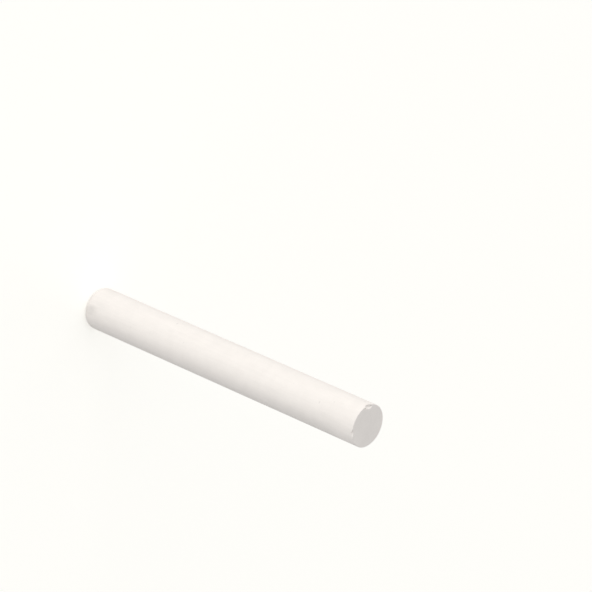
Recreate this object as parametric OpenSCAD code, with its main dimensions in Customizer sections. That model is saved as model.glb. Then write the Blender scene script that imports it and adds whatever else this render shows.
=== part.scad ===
// Moulded chalk stick, in millimetres. It stands on its rounded end: the origin is the
// middle of the foot and +Z runs along the stick to the struck face.

/* [Stick] */
// Length from the foot to the struck face
length = 80; // [50:1:120]
// Diameter of the wall at the struck end, where the mould is open
struck_end_d = 9.75; // [8:0.05:14]
// Diameter of the wall at the rounded end, smaller by the draft of the mould
moulded_end_d = 9.55; // [8:0.05:14]

/* [Ends] */
// Radius of the moulded edge round the foot
foot_edge_r = 1.4; // [0.3:0.1:2]
// Radius worn on the rim of the struck face
rim_edge_r = 0.15; // [0.1:0.05:0.6]

/* [Chips on the rim] */
// Slope of a chip's inner wall where it meets the struck face, in degrees
chip_slope = 45; // [35:1:75]

/* [Large chip on the rim] */
// Direction of the large chip, counterclockwise from +X
large_angle = 209; // [0:1:359]
// Length of rim that the large chip takes away
large_w = 2.7; // [1:0.1:4]
// How far the large chip reaches in across the struck face
large_reach = 0.95; // [0.4:0.05:1.5]
// Depth of the large chip's floor at the middle of its length of rim
large_depth = 0.26; // [0.1:0.02:0.8]
// Tilt of the large chip's floor in degrees, above 0 where it deepens counterclockwise
large_tilt = 14; // [-25:1:25]

/* [Small chip on the rim] */
// Direction of the small chip, counterclockwise from +X
small_angle = 303; // [0:1:359]
// Length of rim that the small chip takes away
small_w = 2.3; // [0.8:0.1:4]
// How far the small chip reaches in across the struck face
small_reach = 0.4; // [0.3:0.05:1.5]
// Depth of the small chip's floor at the middle of its length of rim
small_depth = 0.32; // [0.1:0.02:0.8]
// Tilt of the small chip's floor in degrees, above 0 where it deepens counterclockwise
small_tilt = 20; // [-25:1:25]

/* [Rub mark above the foot] */
// Direction of the rub mark, counterclockwise from +X
rub_angle = 282; // [0:1:359]
// Height of the middle of the rub mark above the foot
rub_height = 2.3; // [1:0.1:20]
// Width of the rub mark on a flat wall
rub_w = 2.8; // [1:0.1:5]
// Depth of the rub mark
rub_depth = 0.1; // [0.05:0.01:0.4]

/* [Hidden] */
chalk_white = [0.96, 0.95, 0.93];
arc_facets = 64;
struck_r = struck_end_d / 2;
moulded_r = moulded_end_d / 2;
draft = (struck_r - moulded_r) / length;
// Unit vector square to the sloping wall, pointing out, as [radial, axial]
wall_normal = [1, -draft] / norm([1, -draft]);
// Depth of the wall inside each edge arc, so that the two cross and leave no sliver
weld = 0.0001;
foot_arc = edge_centre(foot_edge_r, foot_edge_r);
rim_arc = edge_centre(length - rim_edge_r, rim_edge_r);

// Radius of the wall at height z
function wall_r(z) = moulded_r + draft * z;

// Centre of an edge arc of radius r at height z, where the arc touches the wall
function edge_centre(z, r) = [wall_r(z) - r * norm([1, draft]), z];

// Radius of the arc through the ends of a chord of half-length half and through a point
// at distance bite from the middle of the chord
function arc_r(half, bite) = (half * half + bite * bite) / (2 * bite);

// Half of the stick's outline: foot, rounded edge, sloping wall, worn rim, struck face
module outline() {
    polygon([
        [0, 0],
        [foot_arc[0], 0],
        foot_arc + (foot_edge_r - weld) * wall_normal,
        rim_arc + (rim_edge_r - weld) * wall_normal,
        [rim_arc[0], length],
        [0, length]
    ]);
    translate(foot_arc) circle(r = foot_edge_r, $fn = arc_facets);
    translate(rim_arc) circle(r = rim_edge_r, $fn = arc_facets);
}

// Shell-shaped chip off the rim. A ball makes its inner wall: it meets the struck face in
// an arc, from one end of the width to the other and in as far as the reach. The chip
// stops at a flat floor, which tilts along the rim.
module rim_chip(angle, width, reach, depth, tilt) {
    face_arc = arc_r(width / 2, reach);
    ball_r = face_arc / sin(chip_slope);
    ball_lift = face_arc / tan(chip_slope);
    block = 4 * struck_r;
    rotate([0, 0, angle])
        translate([struck_r, 0, length])
            intersection() {
                translate([face_arc - reach, 0, ball_lift])
                    sphere(r = ball_r, $fn = arc_facets);
                translate([0, 0, -depth])
                    rotate([-tilt, 0, 0])
                        translate([-block / 2, -block / 2, 0])
                            cube(block);
            }
}

// Shallow dish rubbed into the wall
module rub_mark() {
    ball_r = arc_r(rub_w / 2, rub_depth);
    rotate([0, 0, rub_angle])
        translate([wall_r(rub_height) - rub_depth + ball_r, 0, rub_height])
            sphere(r = ball_r, $fn = arc_facets);
}

module chalk_stick() {
    color(chalk_white)
        difference() {
            rotate_extrude($fn = arc_facets) outline();
            rim_chip(large_angle, large_w, large_reach, large_depth, large_tilt);
            rim_chip(small_angle, small_w, small_reach, small_depth, small_tilt);
            rub_mark();
        }
}

chalk_stick();
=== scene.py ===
"""Looks of a moulded chalk stick that stands on its rounded end, struck face up.

Every length is in millimetres until it goes into a mesh or onto a lamp, where MM turns it
into metres. Angles are in degrees, and directions round the stick run counterclockwise from
+X, seen from above.
"""
import math

import bpy
import numpy as np
from mathutils import Matrix, Vector, noise


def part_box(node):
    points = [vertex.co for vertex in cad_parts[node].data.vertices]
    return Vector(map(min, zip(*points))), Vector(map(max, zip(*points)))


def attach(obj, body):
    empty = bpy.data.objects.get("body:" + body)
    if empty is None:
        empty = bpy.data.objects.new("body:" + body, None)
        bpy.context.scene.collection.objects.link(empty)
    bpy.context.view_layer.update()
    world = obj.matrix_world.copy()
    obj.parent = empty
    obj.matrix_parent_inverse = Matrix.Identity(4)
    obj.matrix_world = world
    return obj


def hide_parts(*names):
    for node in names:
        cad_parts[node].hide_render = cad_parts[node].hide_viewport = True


MM = 0.001
TINY = 1e-6
NODE = "chalk_stick"

# The stick, as the CAD source has it
FOOT_DIAMETER = 9.55
FOOT_EDGE_RADIUS = 1.4
RIM_EDGE_RADIUS = 0.15
# Chips off the rim: direction, length of rim, reach across the face, depth of the floor
# below the face and tilt of the floor along the rim
CHIP_SLOPE = 45.0
RIM_CHIPS = {
    "large": (209.0, 2.7, 0.95, 0.26, 14.0),
    "small": (303.0, 2.3, 0.4, 0.32, 20.0),
}
# Dish rubbed into the wall: direction, height, width, depth
RUB_MARK = (282.0, 2.3, 2.8, 0.1)

# Pits where grains fell out at the chips: direction, distance from the axis, height, radius
PITS = (
    (224.3, 4.47, 80.00, 0.18),
    (212.0, 4.67, 79.70, 0.20),
    (200.8, 4.51, 79.84, 0.19),
    (297.5, 4.69, 79.85, 0.11),
    (301.5, 4.74, 79.88, 0.21),
)

# Relief of the mesh: depth and size of the wall's waves, of the rim's nibbles and of the
# grain that the chips broke along. Nibbles lie within a band along the rim. They start where
# their noise reaches one value, and have their full depth from a second value on.
WAVE_DEPTH, WAVE_SIZE = 0.02, (3.5, 3.5, 14.0)
NIBBLE_DEPTH, NIBBLE_SIZE, NIBBLE_BAND = 0.05, (0.7, 0.7, 0.7), 0.35
NIBBLE_START, NIBBLE_FULL = 0.55, 0.8
BREAK_DEPTH, BREAK_SIZE = 0.05, (0.28, 0.28, 0.28)
# Depth of a break at which its grain is at its deepest, and at which its roughness is full
BREAK_GRAIN_FULL, BREAK_ROUGH_FULL = 0.1, 0.05
SHARP_EDGE = 40.0

CHALK_WHITE = (0.92, 0.88, 0.845)

# Patterns of the surface: lumps per mm, detail, how far the noise strays from its middle,
# and the share of light that it then adds or takes
MOTTLE = (0.4, 3, 0.25, 0.013)
STREAKS = (1.0, 2, 0.25, 0.010)
GRAIN = (7.0, 3, 0.3, 0.025)
STREAK_SQUEEZE = (1.5, 1.5, 0.06)
# Pores: how many per mm, how far their dark middle and their edge reach in shares of their
# spacing, the light that is left in them, and how much the grain frays them
PORES_PER_MM = 0.55
PORE_MIDDLE, PORE_EDGE, PORE_LIGHT, PORE_FRAY = 0.05, 0.09, 0.88, 0.06
# Bump: strength on the moulded surface and on a break, height of the grain, and depth of
# the pores as a share of it
MOULDED_BUMP, BREAK_BUMP = 0.25, 0.8
BUMP_HEIGHT, PORE_DEPTH = 0.03, 0.4

# Marks on the wall: direction, height, half size round the wall and along it, and the share
# of light that is left, which is over 1 in a pale mark. The first three soft ones are
# painted shade near the foot and the fourth is painted light below the struck rim; the rest
# are smudges. The soft ones are softer than specks and drift out of shape.
SMUDGES_AND_PAINTED_LIGHT = (
    # Painted shade: darker towards the foot's rounded edge, as a rounder end would shade
    (285.0, 2.1, 0.95, 1.4, 0.87),
    (266.0, 4.3, 0.9, 0.9, 0.965),
    # Painted shade: the lit side made darker near the foot
    (232.0, 3.2, 3.0, 2.6, 0.98),
    # Painted light: a pale patch on the lower side just below the struck rim, for bounce
    # light
    (334.0, 77.2, 2.2, 2.9, 1.07),
    # The rest are smudges on the wall
    (250.0, 25.2, 0.45, 0.6, 0.965),
    (300.0, 30.4, 0.6, 0.5, 0.98),
    (288.0, 71.8, 0.5, 0.5, 0.97),
    (242.0, 74.7, 0.3, 0.5, 0.97),
)
SPECKS = (
    (220.0, 24.8, 0.2, 0.22, 0.88),
    (263.0, 69.6, 0.3, 0.14, 0.9),
    (264.0, 29.8, 0.16, 0.2, 0.94),
    (283.0, 14.5, 0.2, 0.2, 0.95),
    (247.0, 72.9, 0.14, 0.2, 0.93),
)
# Blur of the smudges, the painted shade and the painted light, and of the specks
SMUDGE_AND_PAINTED_LIGHT_BLUR, SPECK_BLUR = 0.9, 0.4
DRIFT, DRIFTS_PER_MM = 0.9, 1.1

# Steps between the rings and columns of the mesh, which are fine in a band along the rim
# and at the chips
FACE_STEP = 0.35
FINE_STEP = 0.03
FINE_BAND = 1.2
WALL_STEP = 0.8
ARC_STEPS = 14
RIM_ARC_STEPS = 7
COLUMN_STEP = 1.6
FINE_COLUMN_STEP = 0.35
FINE_MARGIN = 4.0

# Camera: where the struck face lies in the picture, and how the stick's axis runs there
PICTURE_SIDE = 592
LENS_PX = 4200.0
FACE_CENTRE_PX = (367.64, 425.92)
FACE_DIAMETER_PX = 46.45
AXIS_SLOPE = 22.92
AXIS_TO_SIGHT = 52.85
SENSOR_WIDTH = 36.0

# Light: strength of the white world, the direction of its dim side and the strength there
WORLD_LIGHT = 0.69
DIM_SIDE, DIM_LIGHT = 41.0, 0.395
# Lamps: their distance in metres and their colour, then each one's direction, angle above
# the floor, width and height in metres, and watts. The key lights the side that is bright in
# the picture. The fill lights the back, which the picture doesn't show.
LAMP_DISTANCE = 4.0
LAMP_COLOUR = (1.0, 0.98, 0.94)
LAMPS = {
    "key": (238.0, 6.0, 3.9, 0.8, 73.0),
    "fill": (100.0, 3.6, 2.9, 0.4, 60.0),
}
# Floor: half its side in metres, its colour, and what it adds to that where it is seen
FLOOR_REACH = 3.0
FLOOR_WHITE = (0.9, 0.9, 0.9)
FLOOR_GLOW = (0.370, 0.364, 0.330)


def arc_radius(half, bite):
    """Radius of the arc through the ends of a chord and a point that far off its middle."""
    return (half * half + bite * bite) / (2 * bite)


def arc(centre, radius, start, end, steps):
    """Points of an arc between two angles in radians, measured from outward to up."""
    angles = np.linspace(start, end, steps + 1)
    return [centre + radius * np.array([math.cos(a), math.sin(a)]) for a in angles]


class Stick:
    """Sizes of the stick, worked out from the CAD box and the values above."""

    def __init__(self, low, high):
        self.length = (high.z - low.z) / MM
        self.struck_r = (high.x - low.x) / 2 / MM
        self.foot_r = FOOT_DIAMETER / 2
        self.draft = (self.struck_r - self.foot_r) / self.length
        self.slant = math.hypot(1, self.draft)

    def wall_r(self, z):
        return self.foot_r + self.draft * z

    def edge_centre(self, z, radius):
        """Centre of an edge arc at height z that touches the wall."""
        return np.array([self.wall_r(z) - radius * self.slant, z])

    def outline(self):
        """Half outline as [radius, height], from next to the foot's centre to the struck
        face's, closer together at the rim."""
        tilt = math.atan(self.draft)
        foot = self.edge_centre(FOOT_EDGE_RADIUS, FOOT_EDGE_RADIUS)
        rim = self.edge_centre(self.length - RIM_EDGE_RADIUS, RIM_EDGE_RADIUS)
        points = [np.array([r, 0.0]) for r in np.arange(FACE_STEP, foot[0], FACE_STEP)]
        points += arc(foot, FOOT_EDGE_RADIUS, -math.pi / 2, -tilt, ARC_STEPS)
        fine_z = self.length - FINE_BAND
        heights = np.linspace(points[-1][1], fine_z, int(fine_z / WALL_STEP))[1:]
        fine = np.arange(fine_z + FINE_STEP, rim[1] - FINE_STEP / 2, FINE_STEP)
        points += [np.array([self.wall_r(z), z]) for z in (*heights, *fine)]
        points += arc(rim, RIM_EDGE_RADIUS, -tilt, math.pi / 2, RIM_ARC_STEPS)
        fine_r = self.struck_r - FINE_BAND
        radii = np.arange(rim[0] - FINE_STEP, fine_r, -FINE_STEP)
        coarse = np.arange(fine_r, FACE_STEP / 2, -FACE_STEP)
        points += [np.array([r, self.length]) for r in (*radii, *coarse)]
        return np.array(points)

    def columns(self):
        """Directions of the mesh's columns, closer together at the chips."""
        stations = [0.0]
        spans = []
        for direction, width, *_ in RIM_CHIPS.values():
            half = math.degrees(width / 2 / self.struck_r) + FINE_MARGIN
            spans.append((direction - half, direction + half))
        while stations[-1] < 360:
            here = stations[-1]
            fine = any(low <= here <= high for low, high in spans)
            stations.append(here + (FINE_COLUMN_STEP if fine else COLUMN_STEP))
        return np.array(stations[:-1]) * 360 / stations[-1]


class Bite:
    """A ball that bites into the stick, down to a flat floor if it has one."""

    def __init__(self, centre, radius, floor_point=None, floor_normal=None):
        self.centre = np.array(centre)
        self.radius = radius
        self.floor_point = floor_point
        self.floor_normal = floor_normal

    def leave(self, points, ways):
        """Distance along its way at which each point leaves the bite, 0 for one outside."""
        offset = points - self.centre
        along = (offset * ways).sum(1)
        gap = self.radius**2 - (offset * offset).sum(1)
        inside = gap > 0
        way_out = -along + np.sqrt(np.maximum(along * along + gap, 0))
        if self.floor_point is not None:
            above = (points - self.floor_point) @ self.floor_normal
            fall = -(ways @ self.floor_normal)
            inside &= above > 0
            to_floor = np.where(fall > TINY, above / np.maximum(fall, TINY), np.inf)
            way_out = np.minimum(way_out, to_floor)
        return np.where(inside, way_out, 0)


def rim_chip(stick, direction, width, reach, depth, tilt):
    """Chip with a ball for its inner wall and a flat floor, as in the CAD source."""
    face_arc = arc_radius(width / 2, reach)
    turn, slope, lean = (math.radians(a) for a in (direction, CHIP_SLOPE, tilt))
    outward = np.array([math.cos(turn), math.sin(turn), 0])
    onward = np.array([-math.sin(turn), math.cos(turn), 0])
    up = np.array([0, 0, 1])
    rim = outward * stick.struck_r + up * stick.length
    centre = rim + outward * (face_arc - reach) + up * face_arc / math.tan(slope)
    floor_normal = onward * math.sin(lean) + up * math.cos(lean)
    return Bite(centre, face_arc / math.sin(slope), rim - up * depth, floor_normal)


def ball(direction, distance, height, radius):
    """Bite without a floor, its centre placed by direction, distance from the axis and
    height."""
    turn = math.radians(direction)
    centre = (distance * math.cos(turn), distance * math.sin(turn), height)
    return Bite(centre, radius)


def rub_mark(stick, direction, height, width, depth):
    radius = arc_radius(width / 2, depth)
    return ball(direction, stick.wall_r(height) - depth + radius, height, radius)


def inward(stick, r, z):
    """Direction in which a point of the outline sinks: square to the wall and the faces,
    and towards one point inside the edge where they meet."""
    rim_anchor = np.array([stick.struck_r - FINE_BAND, stick.length - FINE_BAND])
    foot_anchor = stick.edge_centre(FOOT_EDGE_RADIUS, FOOT_EDGE_RADIUS)
    target = np.stack([np.zeros_like(r), z], 1)
    on_face = z > stick.length - TINY
    at_rim = (r > rim_anchor[0]) & (z > rim_anchor[1])
    at_foot = (r > foot_anchor[0]) & (z < foot_anchor[1])
    under = (z < TINY) & ~at_foot
    target[on_face] = np.stack([r, z - 1], 1)[on_face]
    target[at_rim] = rim_anchor
    target[at_foot] = foot_anchor
    target[under] = np.stack([r, z + 1], 1)[under]
    way = target - np.stack([r, z], 1)
    return way / np.linalg.norm(way, axis=1)[:, None]


def sink(points, ways, bites):
    """Depth along its way at which each point is out of all the bites."""
    depth = np.zeros(len(points))
    for _ in range(len(bites)):
        for bite in bites:
            depth += bite.leave(points + ways * depth[:, None], ways)
    return depth


def noise_at(points, size):
    """Smooth noise from 0 to 1 at each point, with lumps of the given sizes."""
    found = [noise.noise(point) for point in (points / np.array(size)).tolist()]
    return np.clip(np.array(found) / 2 + 0.5, 0, 1)


def relief(stick, points, broken):
    """Depth to sink each point by, on top of the chips and the rub mark."""
    radius = np.hypot(points[:, 0], points[:, 1])
    waves = WAVE_DEPTH * noise_at(points, WAVE_SIZE)
    waves *= np.clip((radius - stick.foot_r + FOOT_EDGE_RADIUS) / FOOT_EDGE_RADIUS, 0, 1)
    away = np.hypot(radius - stick.struck_r, points[:, 2] - stick.length)
    nibbles = noise_at(points, NIBBLE_SIZE) - NIBBLE_START
    nibbles = NIBBLE_DEPTH * np.clip(nibbles / (NIBBLE_FULL - NIBBLE_START), 0, 1)
    nibbles *= np.clip(1 - away / NIBBLE_BAND, 0, 1)
    grain = BREAK_DEPTH * noise_at(points, BREAK_SIZE)
    grain *= np.clip(broken / BREAK_GRAIN_FULL, 0, 1)
    return waves + nibbles + grain


def grid_faces(rings, columns):
    """Faces of a tube of rings, closed by a fan at the first ring and one at the last."""
    faces = []
    for column in range(columns):
        after = (column + 1) % columns
        for ring in range(rings - 1):
            low = ring * columns
            high = low + columns
            faces.append((low + column, low + after, high + after, high + column))
        foot_centre = rings * columns
        top = (rings - 1) * columns
        faces.append((foot_centre, after, column))
        faces.append((top + column, top + after, foot_centre + 1))
    return faces


def whole_stick(stick):
    """Points of the stick before it wore, ring by ring from the foot up, with the way in
    which each one sinks, and the numbers of rings and columns."""
    outline = stick.outline()
    angles = np.radians(stick.columns())
    rings, columns = len(outline), len(angles)
    r = np.repeat(outline[:, 0], columns)
    z = np.repeat(outline[:, 1], columns)
    around = np.tile(angles, rings)
    outward = np.stack([np.cos(around), np.sin(around)], 1)
    way = inward(stick, r, z)
    points = np.column_stack([outward * r[:, None], z])
    ways = np.column_stack([outward * way[:, :1], way[:, 1]])
    return points, ways, rings, columns


def chalk_mesh(stick):
    """Mesh of the worn stick. Its attribute fracture is 1 where something broke off."""
    points, ways, rings, columns = whole_stick(stick)
    chips = [rim_chip(stick, *sizes) for sizes in RIM_CHIPS.values()]
    chips += [ball(*sizes) for sizes in PITS]
    broken = sink(points, ways, chips)
    depth = sink(points, ways, chips + [rub_mark(stick, *RUB_MARK)])
    depth += relief(stick, points + ways * depth[:, None], broken)
    points += ways * depth[:, None]
    points = np.vstack([points, [[0, 0, 0], [0, 0, stick.length]]])

    mesh = bpy.data.meshes.new("chalk")
    mesh.from_pydata((points * MM).tolist(), [], grid_faces(rings, columns))
    fracture = mesh.attributes.new("fracture", "FLOAT", "POINT")
    amount = np.clip(np.append(broken, [0, 0]) / BREAK_ROUGH_FULL, 0, 1)
    fracture.data.foreach_set("value", amount.astype(np.float32))
    mesh.shade_smooth()
    mesh.set_sharp_from_angle(angle=math.radians(SHARP_EDGE))
    mesh.update()
    return mesh


class Nodes:
    """Adds nodes to one tree. An input is a number, a vector or another node's output."""

    def __init__(self, owner):
        self.tree = owner.node_tree

    def add(self, kind, inputs, output=0, **settings):
        node = self.tree.nodes.new(kind)
        for name, value in settings.items():
            setattr(node, name, value)
        for key, value in inputs.items():
            self.put(node.inputs[key], value)
        return node.outputs[output]

    def put(self, socket, value):
        if isinstance(value, bpy.types.NodeSocket):
            self.tree.links.new(value, socket)
        else:
            socket.default_value = value

    def math(self, operation, *values):
        return self.add("ShaderNodeMath", dict(enumerate(values)), operation=operation)

    def vector(self, operation, *values):
        output = "Value" if operation in {"LENGTH", "DOT_PRODUCT"} else "Vector"
        inputs = dict(enumerate(values))
        return self.add("ShaderNodeVectorMath", inputs, output, operation=operation)

    def scaled(self, vector, factor):
        inputs = {"Vector": vector, "Scale": factor}
        return self.add("ShaderNodeVectorMath", inputs, operation="SCALE")

    def noise(self, place, per_mm, detail):
        """Noise around 0.5 with that many lumps per mm."""
        inputs = {"Vector": place, "Scale": per_mm, "Detail": detail}
        return self.add("ShaderNodeTexNoise", inputs)

    def ramp(self, value, start, end, low, high):
        """Smooth step from low, where the value is at start, to high, where it is at end."""
        inputs = {"Value": value, "From Min": start, "From Max": end}
        inputs.update({"To Min": low, "To Max": high})
        return self.add("ShaderNodeMapRange", inputs, interpolation_type="SMOOTHSTEP")

    def product(self, values):
        found = values[0]
        for value in values[1:]:
            found = self.math("MULTIPLY", found, value)
        return found

    def seen(self):
        """1 for a ray that shows a surface to the camera, straight, mirrored or through
        glass, and 0 for one that gathers light."""
        path = self.tree.nodes.new("ShaderNodeLightPath").outputs
        mirrored = self.math("MAXIMUM", path["Is Glossy Ray"], path["Is Transmission Ray"])
        return self.math("MAXIMUM", path["Is Camera Ray"], mirrored)


def pattern_light(nodes, pattern_noise, pattern):
    """Light that a pattern leaves: 1 in the middle of its noise, more above, less below."""
    _, _, stray, change = pattern
    return nodes.ramp(pattern_noise, 0.5 - stray, 0.5 + stray, 1 - change, 1 + change)


def mark_light(nodes, stick, place, mark, blur):
    """Share of light that a mark or a patch of painted shade or light on the wall leaves, 1
    outside it.
    """
    direction, height, half_round, half_along, light = mark
    turn = math.radians(direction)
    r = stick.wall_r(height)
    middle = (r * math.cos(turn), r * math.sin(turn), height)
    offset = nodes.vector("SUBTRACT", place, middle)
    shrink = (1 / half_round, 1 / half_round, 1 / half_along)
    distance = nodes.vector("LENGTH", nodes.vector("MULTIPLY", offset, shrink))
    return nodes.ramp(distance, 1 - blur, 1 + blur, light, 1)


def drifted(nodes, place):
    """The place moved a little at random, so that a round mark loses its shape."""
    inputs = {"Vector": place, "Scale": DRIFTS_PER_MM}
    wander = nodes.scaled(nodes.add("ShaderNodeTexNoise", inputs, "Color"), DRIFT)
    return nodes.vector("ADD", place, nodes.vector("SUBTRACT", wander, (DRIFT / 2,) * 3))


def chalk_light(nodes, stick, place, grain, pores):
    """Share of light that the patterns, the pores, the marks, the painted shade near the
    foot and the painted light below the struck rim leave together.
    """
    squeezed = nodes.vector("MULTIPLY", place, STREAK_SQUEEZE)
    mottle = nodes.noise(place, *MOTTLE[:2])
    streaks = nodes.noise(squeezed, *STREAKS[:2])
    lights = [
        pattern_light(nodes, mottle, MOTTLE),
        pattern_light(nodes, streaks, STREAKS),
        pattern_light(nodes, grain, GRAIN),
        nodes.ramp(pores, PORE_MIDDLE, PORE_EDGE, PORE_LIGHT, 1),
    ]
    moved = drifted(nodes, place)
    # Smudges, with the painted shade near the foot and the painted light below the struck
    # rim
    lights += [mark_light(nodes, stick, moved, mark, SMUDGE_AND_PAINTED_LIGHT_BLUR) for mark in SMUDGES_AND_PAINTED_LIGHT]
    lights += [mark_light(nodes, stick, place, mark, SPECK_BLUR) for mark in SPECKS]
    return nodes.product(lights)


def chalk_bump(nodes, grain, pores):
    """Bump of the grain and the pores, rougher where something broke off."""
    fracture = nodes.add("ShaderNodeAttribute", {}, "Fac", attribute_name="fracture")
    strength = nodes.ramp(fracture, 0, 1, MOULDED_BUMP, BREAK_BUMP)
    height = nodes.math("MULTIPLY_ADD", pores, PORE_DEPTH, grain)
    inputs = {"Strength": strength, "Distance": BUMP_HEIGHT * MM, "Height": height}
    return nodes.add("ShaderNodeBump", inputs)


def chalk_material(stick):
    """Matt white gypsum: faint mottling, streaks along the mould, powdery grain, rare pores,
    grey marks, painted shade near the foot, painted light below the struck rim, and rougher
    breaks."""
    material = bpy.data.materials.new("chalk_surface")
    material.use_nodes = True
    nodes = Nodes(material)
    place = nodes.scaled(nodes.add("ShaderNodeTexCoord", {}, "Object"), 1 / MM)
    grain = nodes.noise(place, *GRAIN[:2])
    pores = nodes.add("ShaderNodeTexVoronoi", {"Vector": place, "Scale": PORES_PER_MM})
    pores = nodes.math("MULTIPLY_ADD", grain, PORE_FRAY, pores)
    light = chalk_light(nodes, stick, place, grain, pores)

    shader = nodes.tree.nodes["Principled BSDF"]
    shader.inputs["Roughness"].default_value = 1.0
    shader.inputs["Specular IOR Level"].default_value = 0.1
    nodes.put(shader.inputs["Base Color"], nodes.scaled(CHALK_WHITE, light))
    nodes.put(shader.inputs["Normal"], chalk_bump(nodes, grain, pores))
    return material


def add_stick():
    stick = Stick(*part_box(NODE))
    piece = bpy.data.objects.new("chalk", chalk_mesh(stick))
    bpy.context.scene.collection.objects.link(piece)
    piece.data.materials.append(chalk_material(stick))
    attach(piece, "root")
    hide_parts(NODE)
    return stick


def add_camera(stick):
    """The stick's axis slopes down to the right in the picture, and its struck face looks
    towards the camera. All the ways are in the row frame."""
    slope = math.radians(AXIS_SLOPE)
    sight = math.radians(AXIS_TO_SIGHT)
    forward = Vector((0, math.sin(sight), -math.cos(sight)))
    axis_way = Vector((0, math.cos(sight), math.sin(sight)))
    side_way = Vector((1, 0, 0))
    right = axis_way * math.cos(slope) - side_way * math.sin(slope)
    down = axis_way * math.sin(slope) + side_way * math.cos(slope)
    distance = LENS_PX / FACE_DIAMETER_PX * stick.struck_r * 2
    across, drop = (
        (pixel - PICTURE_SIDE / 2) / LENS_PX * distance for pixel in FACE_CENTRE_PX
    )
    face_centre = Vector((0, 0, stick.length))
    place = face_centre - right * across - down * drop - forward * distance
    data = bpy.data.cameras.new("camera")
    data.sensor_width = SENSOR_WIDTH
    data.lens = LENS_PX / PICTURE_SIDE * SENSOR_WIDTH
    data.clip_start = 0.01
    data.clip_end = 20
    camera = bpy.data.objects.new("camera", data)
    turn = Matrix((right, -down, -forward)).transposed()
    camera.matrix_world = Matrix.Translation(place * MM) @ turn.to_4x4()
    bpy.context.scene.collection.objects.link(camera)
    bpy.context.scene.camera = camera


def add_floor():
    mesh = bpy.data.meshes.new("floor")
    signs = [(-1, -1), (1, -1), (1, 1), (-1, 1)]
    corners = [(x * FLOOR_REACH, y * FLOOR_REACH, 0) for x, y in signs]
    mesh.from_pydata(corners, [], [(0, 1, 2, 3)])
    floor = bpy.data.objects.new("floor", mesh)
    bpy.context.scene.collection.objects.link(floor)
    material = bpy.data.materials.new("floor_paper")
    material.use_nodes = True
    nodes = Nodes(material)
    shader = nodes.tree.nodes["Principled BSDF"]
    shader.inputs["Base Color"].default_value = (*FLOOR_WHITE, 1)
    shader.inputs["Roughness"].default_value = 1.0
    shader.inputs["Specular IOR Level"].default_value = 0.0
    shader.inputs["Emission Color"].default_value = (*FLOOR_GLOW, 1)
    nodes.put(shader.inputs["Emission Strength"], nodes.seen())
    mesh.materials.append(material)


def add_world():
    """White world that is dimmer on one side, and plain white where it is seen."""
    world = bpy.data.worlds.new("studio")
    bpy.context.scene.world = world
    world.use_nodes = True
    nodes = Nodes(world)
    back = nodes.tree.nodes["Background"]
    back.inputs["Color"].default_value = (1, 1, 1, 1)
    turn = math.radians(DIM_SIDE)
    dim_way = (math.cos(turn), math.sin(turn), 0)
    way = nodes.add("ShaderNodeTexCoord", {}, "Generated")
    facing = nodes.vector("DOT_PRODUCT", way, dim_way)
    light = nodes.ramp(facing, 0, 1, WORLD_LIGHT, DIM_LIGHT)
    nodes.put(back.inputs["Strength"], nodes.ramp(nodes.seen(), 0, 1, light, 1))


def add_lamp(stick, name, direction, rise, width, height, watts):
    """Wide, low and soft lamp that shines on the middle of the stick."""
    data = bpy.data.lights.new(name, "AREA")
    data.shape = "RECTANGLE"
    data.size = width
    data.size_y = height
    data.energy = watts
    data.color = LAMP_COLOUR
    lamp = bpy.data.objects.new(name, data)
    turn, rise = math.radians(direction), math.radians(rise)
    way = Vector((math.cos(turn), math.sin(turn), math.tan(rise))).normalized()
    middle = Vector((0, 0, stick.length / 2)) * MM
    lamp.location = middle + way * LAMP_DISTANCE
    lamp.rotation_mode = "QUATERNION"
    lamp.rotation_quaternion = way.to_track_quat("Z", "Y")
    bpy.context.scene.collection.objects.link(lamp)


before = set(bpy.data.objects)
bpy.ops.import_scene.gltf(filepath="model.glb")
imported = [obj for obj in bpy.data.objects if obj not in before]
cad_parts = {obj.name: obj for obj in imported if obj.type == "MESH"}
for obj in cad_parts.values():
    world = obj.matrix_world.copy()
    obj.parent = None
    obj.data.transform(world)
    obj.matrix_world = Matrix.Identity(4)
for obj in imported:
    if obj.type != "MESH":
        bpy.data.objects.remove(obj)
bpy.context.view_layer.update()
bpy.context.scene.view_settings.view_transform = "Standard"
stick = add_stick()
add_camera(stick)
add_floor()
add_world()
for lamp_name, lamp in LAMPS.items():
    add_lamp(stick, lamp_name, *lamp)

bpy.context.view_layer.update()
